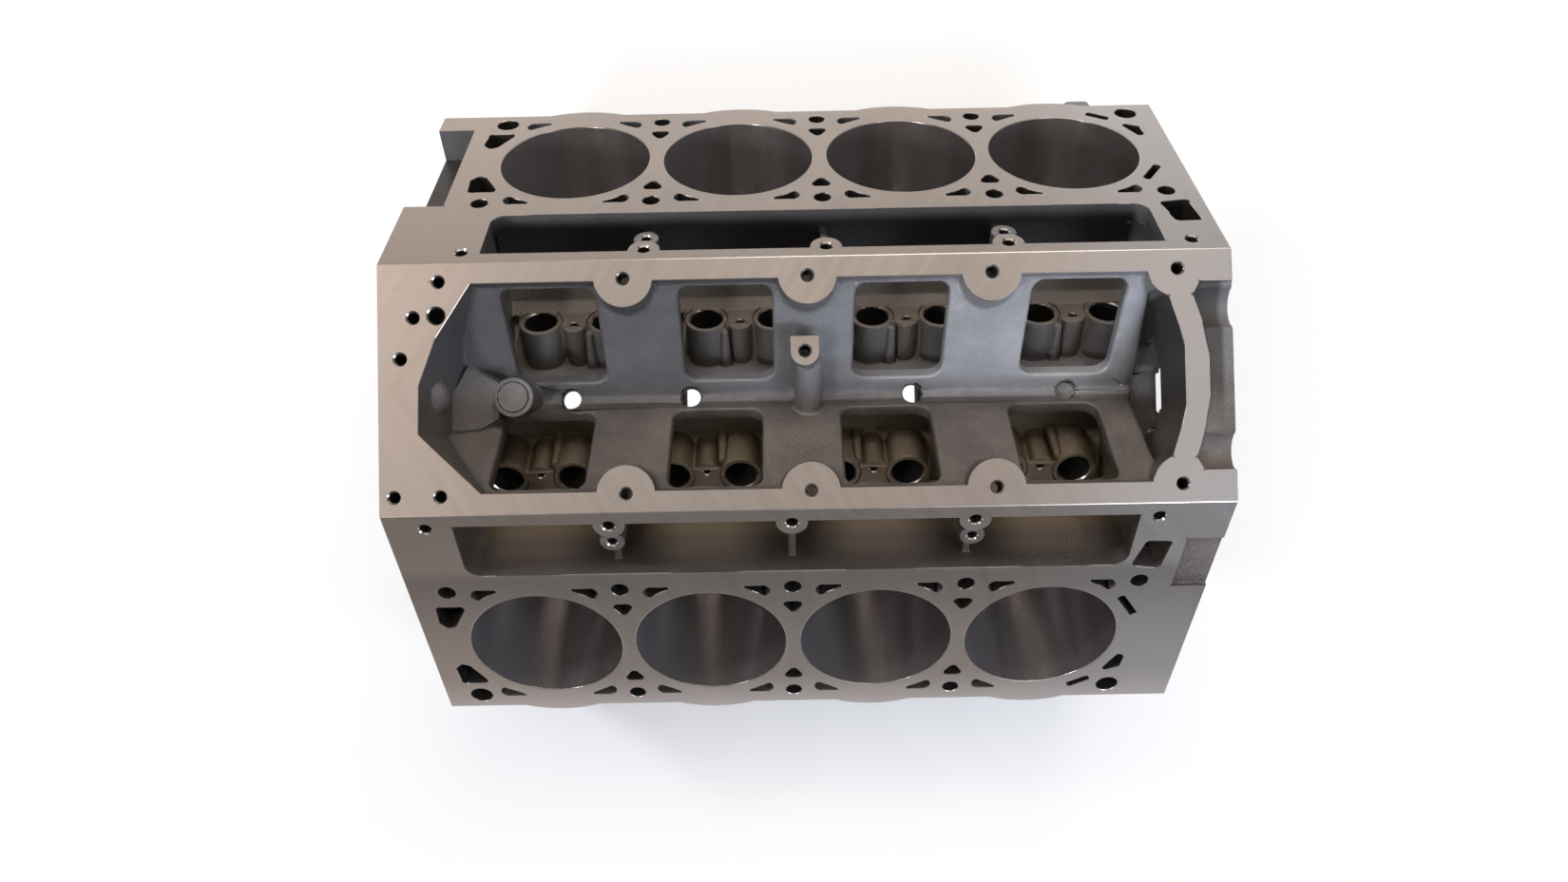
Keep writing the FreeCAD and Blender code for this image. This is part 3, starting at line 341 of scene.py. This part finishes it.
# faces cut by a wide milling head, which leaves shallow arcs across them
def milledIron():
    paint = Finish("milledIron")
    where, places = paint.place(), paint.places()
    x, u, z = places["x"], places["u"], places["z"]
    track = paint.join(x + u * u * milledLook["curve"], u * 0.05, z * 0.02)
    fine = paint.noise(track, milledLook["fine"], 2)
    wide = paint.noise(track, milledLook["wide"], 3)
    patches = paint.noise(where, milledLook["patch"], 3)
    tone = paint.ramp(fine * 0.25 + wide * 0.35 + patches * 0.4, *milledLook["tone"])
    shade = paint.blend(tone, milledLook["deep"], milledLook["pale"])
    shade = paint.blend(paint.zone(places, milledZones["rear"]), shade, milledLook["warm"])
    shade = paint.blend(paint.zone(places, milledZones["front"]), shade, milledLook["cool"])
    # painted shade on the valley side of the right deck and a painted reflection along its outer edge
    deck = paint.zone(places, milledZones["rightDeck"])
    inner = deck * paint.zone(places, milledZones["inner"]) * milledLook["paintedShadeDepth"]
    shade = paint.blend(inner, shade, milledLook["paintedShade"])
    outer = deck * paint.zone(places, milledZones["outer"]) * milledLook["paintedLitDepth"]
    shade = paint.blend(outer, shade, milledLook["lit"])
    rust = paint.ramp(paint.noise(where, milledLook["rustPatch"], 4, 0.7), *milledLook["rustTone"])
    rust = rust * paint.zone(places, milledZones["rusty"])
    shade = paint.blend(rust * milledLook["rustDepth"], shade, milledLook["rust"])
    skin = paint.bump(fine * 0.5 + wide, milledLook)
    rough = milledLook["rough"] + wide * milledLook["roughTrack"] + rust * milledLook["roughRust"]
    return paint.close(shade, milledLook["metal"], rough, skin)


honedLook = {
    "pale": (0.68, 0.62, 0.59), "deep": (0.40, 0.35, 0.32), "cool": (0.62, 0.64, 0.72),
    "shaded": (0.24, 0.215, 0.20), "lean": 0.3, "scratch": 2600, "band": 60, "tone": (0.32, 0.66),
    "coolSide": (-0.75, -0.15), "shadedSide": (0.25, 0.95), "sideDepth": 0.6,
    "bump": 1.0, "bumpDepth": 0.00016, "rough": 0.15, "roughScratch": 0.1, "metal": 0.86}


# cylinder walls with the crossed scratches of a hone
def honedIron(side, name):
    paint = Finish(name)
    x, u, d = paint.split(paint.place(turn=(radians(45 * side), 0, 0)))
    lines = []
    for lean in (honedLook["lean"], -honedLook["lean"]):
        track = paint.join((x + u) * 0.06, d + (x - u) * lean, 0.0)
        lines.append(paint.noise(track, honedLook["scratch"], 2))
    scratch = lines[0] * 0.5 + lines[1] * 0.5
    band = paint.noise(paint.join(x, u, d * 0.04), honedLook["band"], 3)
    tone = paint.ramp(scratch * 0.5 + band * 0.5, *honedLook["tone"])
    shade = paint.blend(tone, honedLook["deep"], honedLook["pale"])
    # painted light: each bore's wall is paler and bluer towards lower x as a painted reflection, and darker
    # towards higher x as painted shade
    along = (x - side * casting["stagger"] / 2) / casting["borePitch"] + 4  # 4 keeps it above nought
    within = paint.add("Math", {"operation": "FRACT"}, {0: along}) - 0.5
    across = within * (casting["borePitch"] / casting["boreRadius"])
    cool = paint.fade(across, *honedLook["coolSide"]) * honedLook["sideDepth"]
    shade = paint.blend(cool, shade, honedLook["cool"])
    shaded = paint.ramp(across, *honedLook["shadedSide"]) * honedLook["sideDepth"]
    shade = paint.blend(shaded, shade, honedLook["shaded"])
    skin = paint.bump(scratch, honedLook)
    rough = honedLook["rough"] + scratch * honedLook["roughScratch"]
    return paint.close(shade, honedLook["metal"], rough, skin)


# holes that are drilled and tapped, and the crank and cam bores, turned along the block
ringedLooks = {
    # the near-black of drilled holes and deck pockets is painted shade in the hollows
    "drilledIron": {"rings": (40, 40, 900), "deep": (0.018, 0.016, 0.015), "pale": (0.075, 0.068, 0.064),
                    "bump": 0.4, "bumpDepth": 0.0004, "rough": 0.42, "metal": 0.6},
    "boredIron": {"rings": (1400, 8, 8), "deep": (0.28, 0.265, 0.25), "pale": (0.42, 0.40, 0.38),
                  "bump": 0.3, "bumpDepth": 0.0002, "rough": 0.3, "metal": 1.0}}


def ringedIron(name):
    look = ringedLooks[name]
    paint = Finish(name)
    rings = paint.noise(paint.place(scale=look["rings"]), 1, 2)
    shade = paint.blend(rings, look["deep"], look["pale"])
    return paint.close(shade, look["metal"], look["rough"], paint.bump(rings, look))


edgeLook = {"bright": (0.62, 0.58, 0.54), "worn": (0.42, 0.39, 0.36), "wear": 300,
            "rough": 0.22, "roughWear": 0.1, "metal": 1.0}


# thin bright edges left by the cutters
def brightEdge():
    paint = Finish("brightEdge")
    wear = paint.noise(paint.place(), edgeLook["wear"], 3)
    shade = paint.blend(wear, edgeLook["bright"], edgeLook["worn"])
    return paint.close(shade, edgeLook["metal"], edgeLook["rough"] + wear * edgeLook["roughWear"])


smallLooks = {
    "bolt_steel": {"deep": (0.035, 0.033, 0.032), "pale": (0.085, 0.08, 0.078),
                   "metal": 0.8, "rough": 0.34, "grain": 400},
    "bearing_metal": {"deep": (0.42, 0.40, 0.38), "pale": (0.62, 0.60, 0.57),
                      "metal": 1.0, "rough": 0.26, "grain": 250},
    "plug_brass": {"deep": (0.38, 0.27, 0.11), "pale": (0.66, 0.50, 0.22),
                   "metal": 1.0, "rough": 0.30, "grain": 160},
    "plug_steel": {"deep": (0.26, 0.25, 0.24), "pale": (0.50, 0.48, 0.46),
                   "metal": 1.0, "rough": 0.32, "grain": 260},
    "cap_iron": {"deep": (0.10, 0.095, 0.092), "pale": (0.20, 0.19, 0.185),
                 "metal": 0.5, "rough": 0.5, "grain": 500}}
smallSkin = {"tone": (0.35, 0.65), "roughPatch": 0.15, "bump": 0.3, "bumpDepth": 0.0004}


def smallFinish(name):
    look = smallLooks[name]
    paint = Finish(name)
    where = paint.place()
    patches = paint.noise(where, look["grain"] / 8, 4)
    grain = paint.noise(where, look["grain"], 4, 0.65)
    tone = paint.ramp(patches * 0.6 + grain * 0.4, *smallSkin["tone"])
    shade = paint.blend(tone, look["deep"], look["pale"])
    rough = look["rough"] + patches * smallSkin["roughPatch"]
    return paint.close(shade, look["metal"], rough, paint.bump(grain, smallSkin))


# the casting

casting = {
    "boreRadius": 0.0508, "borePitch": 0.11176, "stagger": 0.024, "boreFoot": 0.06,  # cylinders
    "boreSkin": 0.001, "boreLip": 0.003,
    "deck": 0.2347, "rail": 0.2554, "front": 0.25612, "rear": -0.26042,  # machined planes
    "panRail": -0.068, "mountFace": 0.152, "postTop": 0.236, "tolerance": 0.0001,
    "valleyWall": 0.1308, "chest": 0.205,
    "pocketFloor": 0.17, "pocketReach": 0.0712, "pocketBand": (-0.07, 0.11), "pocketLeast": 0.005,
    "drilled": 0.0115, "bored": 0.025,  # radii of the widest drilled hole and the least turned bore
    "weld": 0.000005, "flatWithin": 1, "skewWithin": 120,
    "sharp": 28, "machinedSharp": 2, "square": 0.1, "facing": 0.5, "roundness": 0.06, "evenWeight": 60,
    "castBevel": 0.0012, "lipBevel": 0.0026, "holeBevel": 0.0009, "cutBevel": 0.00035, "rimsAbove": 0.225}

surfaces = ["cast", "milled", "honedLeft", "honedRight", "bored", "drilled", "edge"]
boringAxes = [Vector((1, 0, 0)), Vector((0, 1, 0)), Vector((0, 0, 1)),
              Vector((0, slope, slope)), Vector((0, -slope, slope))]


# a clean solid made from a node's loose triangles
def mergedMesh(nodeName):
    solid = bmesh.new()
    solid.from_mesh(nodes[nodeName].data)
    bmesh.ops.remove_doubles(solid, verts=solid.verts, dist=casting["weld"])
    bmesh.ops.join_triangles(solid, faces=solid.faces, angle_face_threshold=radians(casting["flatWithin"]),
                             angle_shape_threshold=radians(casting["skewWithin"]))
    return solid


# how far a point is across a bank and up it
def bankAxes(point, side):
    return side * point.y * -slope + slope * point.z, side * point.y * slope + slope * point.z


# groups of faces that run into each other smoothly
def smoothPatches(solid):
    solid.faces.ensure_lookup_table()
    seen, patches = set(), []
    for start in solid.faces:
        if start.index in seen:
            continue
        seen.add(start.index)
        patch, waiting = [start], [start]
        while waiting:
            for edge in waiting.pop().edges:
                if len(edge.link_faces) == 2 and edge.calc_face_angle() < radians(casting["sharp"]):
                    for face in edge.link_faces:
                        if face.index not in seen:
                            seen.add(face.index)
                            patch.append(face)
                            waiting.append(face)
        patches.append(patch)
    return patches


# radius of the bore whose wall a patch is, or nothing
def boreRadius(patch):
    first = patch[0]
    facing = min(patch, key=lambda face: face.normal.dot(first.normal))
    if facing.normal.dot(first.normal) > casting["facing"]:
        return 0
    for axis in boringAxes:
        if all(abs(face.normal.dot(axis)) < casting["square"] for face in patch):
            flat = [f.calc_center_median() - axis * f.calc_center_median().dot(axis) for f in patch]
            turned = facing.normal - first.normal
            radius = -(flat[patch.index(facing)] - flat[0]).dot(turned) / turned.length_squared
            middle = flat[0] + first.normal * radius
            slack = radius * casting["roundness"]
            if radius > 0 and all(abs((p - middle).length - radius) < slack for p in flat):
                return radius
    return 0


# the machined plane that a whole face lies on, or nothing
def planeOf(face):
    found = None
    for corner in face.verts:
        point = corner.co
        gaps = {"rail": point.z - casting["rail"], "posts": point.z - casting["postTop"],
                "front": point.x - casting["front"], "rear": point.x - casting["rear"],
                "pan": point.z - casting["panRail"], "mounts": abs(point.y) - casting["mountFace"],
                "leftDeck": bankAxes(point, leftBank)[1] - casting["deck"],
                "rightDeck": bankAxes(point, rightBank)[1] - casting["deck"]}
        touched = [name for name, gap in gaps.items() if abs(gap) < casting["tolerance"]]
        found = touched if found is None else [name for name in found if name in touched]
        if not found:
            return None
    return found[0]


# the cylinder wall or cylinder rim that a face is part of, or nothing
def cylinderPart(face):
    centre = face.calc_center_median()
    for side, name in ((leftBank, "honedLeft"), (rightBank, "honedRight")):
        u, d = bankAxes(centre, side)
        middles = [side * casting["stagger"] / 2 + (k - 1.5) * casting["borePitch"] for k in range(4)]
        beside = min(abs(centre.x - middle) for middle in middles)
        gap = abs(sqrt(beside * beside + u * u) - casting["boreRadius"])
        upright = abs(bankAxes(face.normal, side)[1]) < casting["square"]
        if upright and d > casting["boreFoot"] and gap < casting["boreSkin"]:
            return name
        if not upright and d > casting["deck"] - casting["boreLip"] and gap < casting["boreLip"]:
            return "edge"
    return None


# the coolant and oil pockets that are cut into a deck
def inPocket(patch):
    points = [v.co for face in patch for v in face.verts]
    ahead = all(p.x > casting["chest"] for p in points)
    lowest, highest = casting["pocketBand"]
    for side in (leftBank, rightBank):
        spots = [bankAxes(p, side) for p in points]
        inside = ahead or all(abs(u) < casting["pocketReach"] for u, d in spots)
        if inside and all(d > casting["pocketFloor"] and lowest < u < highest for u, d in spots):
            return min(d for u, d in spots) < casting["deck"] - casting["pocketLeast"]
    return False


def surfaceOf(patch):
    if planeOf(max(patch, key=lambda face: face.calc_area())):
        return "milled"
    if inPocket(patch):
        return "drilled"
    radius = boreRadius(patch)
    if radius > casting["drilled"]:
        return "bored" if radius > casting["bored"] else "cast"
    return "drilled" if radius > 0 else "cast"


def onValleyWall(edge):
    middle = (edge.verts[0].co + edge.verts[1].co) / 2
    side = leftBank if middle.y > 0 else rightBank
    return abs(bankAxes(middle, side)[0] - casting["valleyWall"]) < casting["tolerance"]


# whether two faces meet within one machined plane
def withinPlane(edge):
    plane = planeOf(edge.link_faces[0])
    return plane is not None and plane == planeOf(edge.link_faces[1])


# which of the four roundings an edge gets
def roundingOf(edge):
    meeting = {surfaces[face.material_index] for face in edge.link_faces}
    if meeting == {"cast"}:
        return "lips" if onValleyWall(edge) else "plain"
    if meeting == {"cast", "drilled"}:
        return "holes"
    if meeting == {"milled", "drilled"} and edge.verts[0].co.z > casting["rimsAbove"]:
        return "holes"
    return "cut"


def roundEdges(solid):
    kinds = {"lips": [], "plain": [], "holes": [], "cut": []}
    for edge in solid.edges:
        if len(edge.link_faces) == 2 and edge.calc_face_angle() > radians(casting["sharp"]):
            if not withinPlane(edge):
                kinds[roundingOf(edge)].append(edge)
    for kind, width, steps, cutter in (("lips", "lipBevel", 3, -1), ("plain", "castBevel", 2, -1),
                                       ("holes", "holeBevel", 1, surfaces.index("edge")),
                                       ("cut", "cutBevel", 1, -1)):
        kept = [edge for edge in kinds[kind] if edge.is_valid]
        bmesh.ops.bevel(solid, geom=kept, offset=casting[width], offset_type="OFFSET", segments=steps,
                        profile=0.5, affect="EDGES", clamp_overlap=False, loop_slide=False, material=cutter)


# shading stays crisp beside a machined face, and smooth over cast skin
def markSharpEdges(solid):
    for face in solid.faces:
        face.smooth = True
    for edge in solid.edges:
        if len(edge.link_faces) == 2:
            machined = surfaces.index("milled") in [face.material_index for face in edge.link_faces]
            limit = radians(casting["machinedSharp"] if machined else casting["sharp"])
            edge.smooth = edge.calc_face_angle() < limit or withinPlane(edge)


def shapeCasting():
    solid = mergedMesh("cylinder_block")
    print("casting merged:", len(solid.faces), "faces")
    for patch in smoothPatches(solid):
        surface = surfaceOf(patch)
        for face in patch:
            flat = "milled" if planeOf(face) else None
            face.material_index = surfaces.index(flat or cylinderPart(face) or surface)
    roundEdges(solid)
    print("edges rounded:", len(solid.faces), "faces")
    markSharpEdges(solid)
    mesh = bpy.data.meshes.new("blockCasting")
    solid.to_mesh(mesh)
    for finish in (castIron(), milledIron(), honedIron(leftBank, "honedLeft"),
                   honedIron(rightBank, "honedRight"), ringedIron("boredIron"),
                   ringedIron("drilledIron"), brightEdge()):
        mesh.materials.append(finish)
    piece = bpy.data.objects.new("blockCasting", mesh)
    bpy.context.collection.objects.link(piece)
    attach(piece, "root")
    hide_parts("cylinder_block")
    level = piece.modifiers.new("level", "WEIGHTED_NORMAL")
    level.keep_sharp, level.weight, level.mode = True, casting["evenWeight"], "FACE_AREA"
    return piece


# the valley's plug has the skin of the casting, and every other small node the finish of its slot
def dressSmallNodes(castSkin):
    finishes = {name: smallFinish(name) for name in smallLooks}
    slotOf = {part["node"]: part["material_slot"] for part in frame["record"]["subparts"]}
    for name, node in nodes.items():
        if name != "cylinder_block":
            for slot in node.material_slots:
                slot.material = castSkin if name == "rear_valley_plug" else finishes[slotOf[name]]


placeCamera()
lightWorld()
hangSoftboxes()
layFloor()
print("camera, lights and floor placed")
block = shapeCasting()
dressSmallNodes(block.data.materials[0])
print("finishes laid on")

bpy.context.scene.view_settings.view_transform = "Standard"
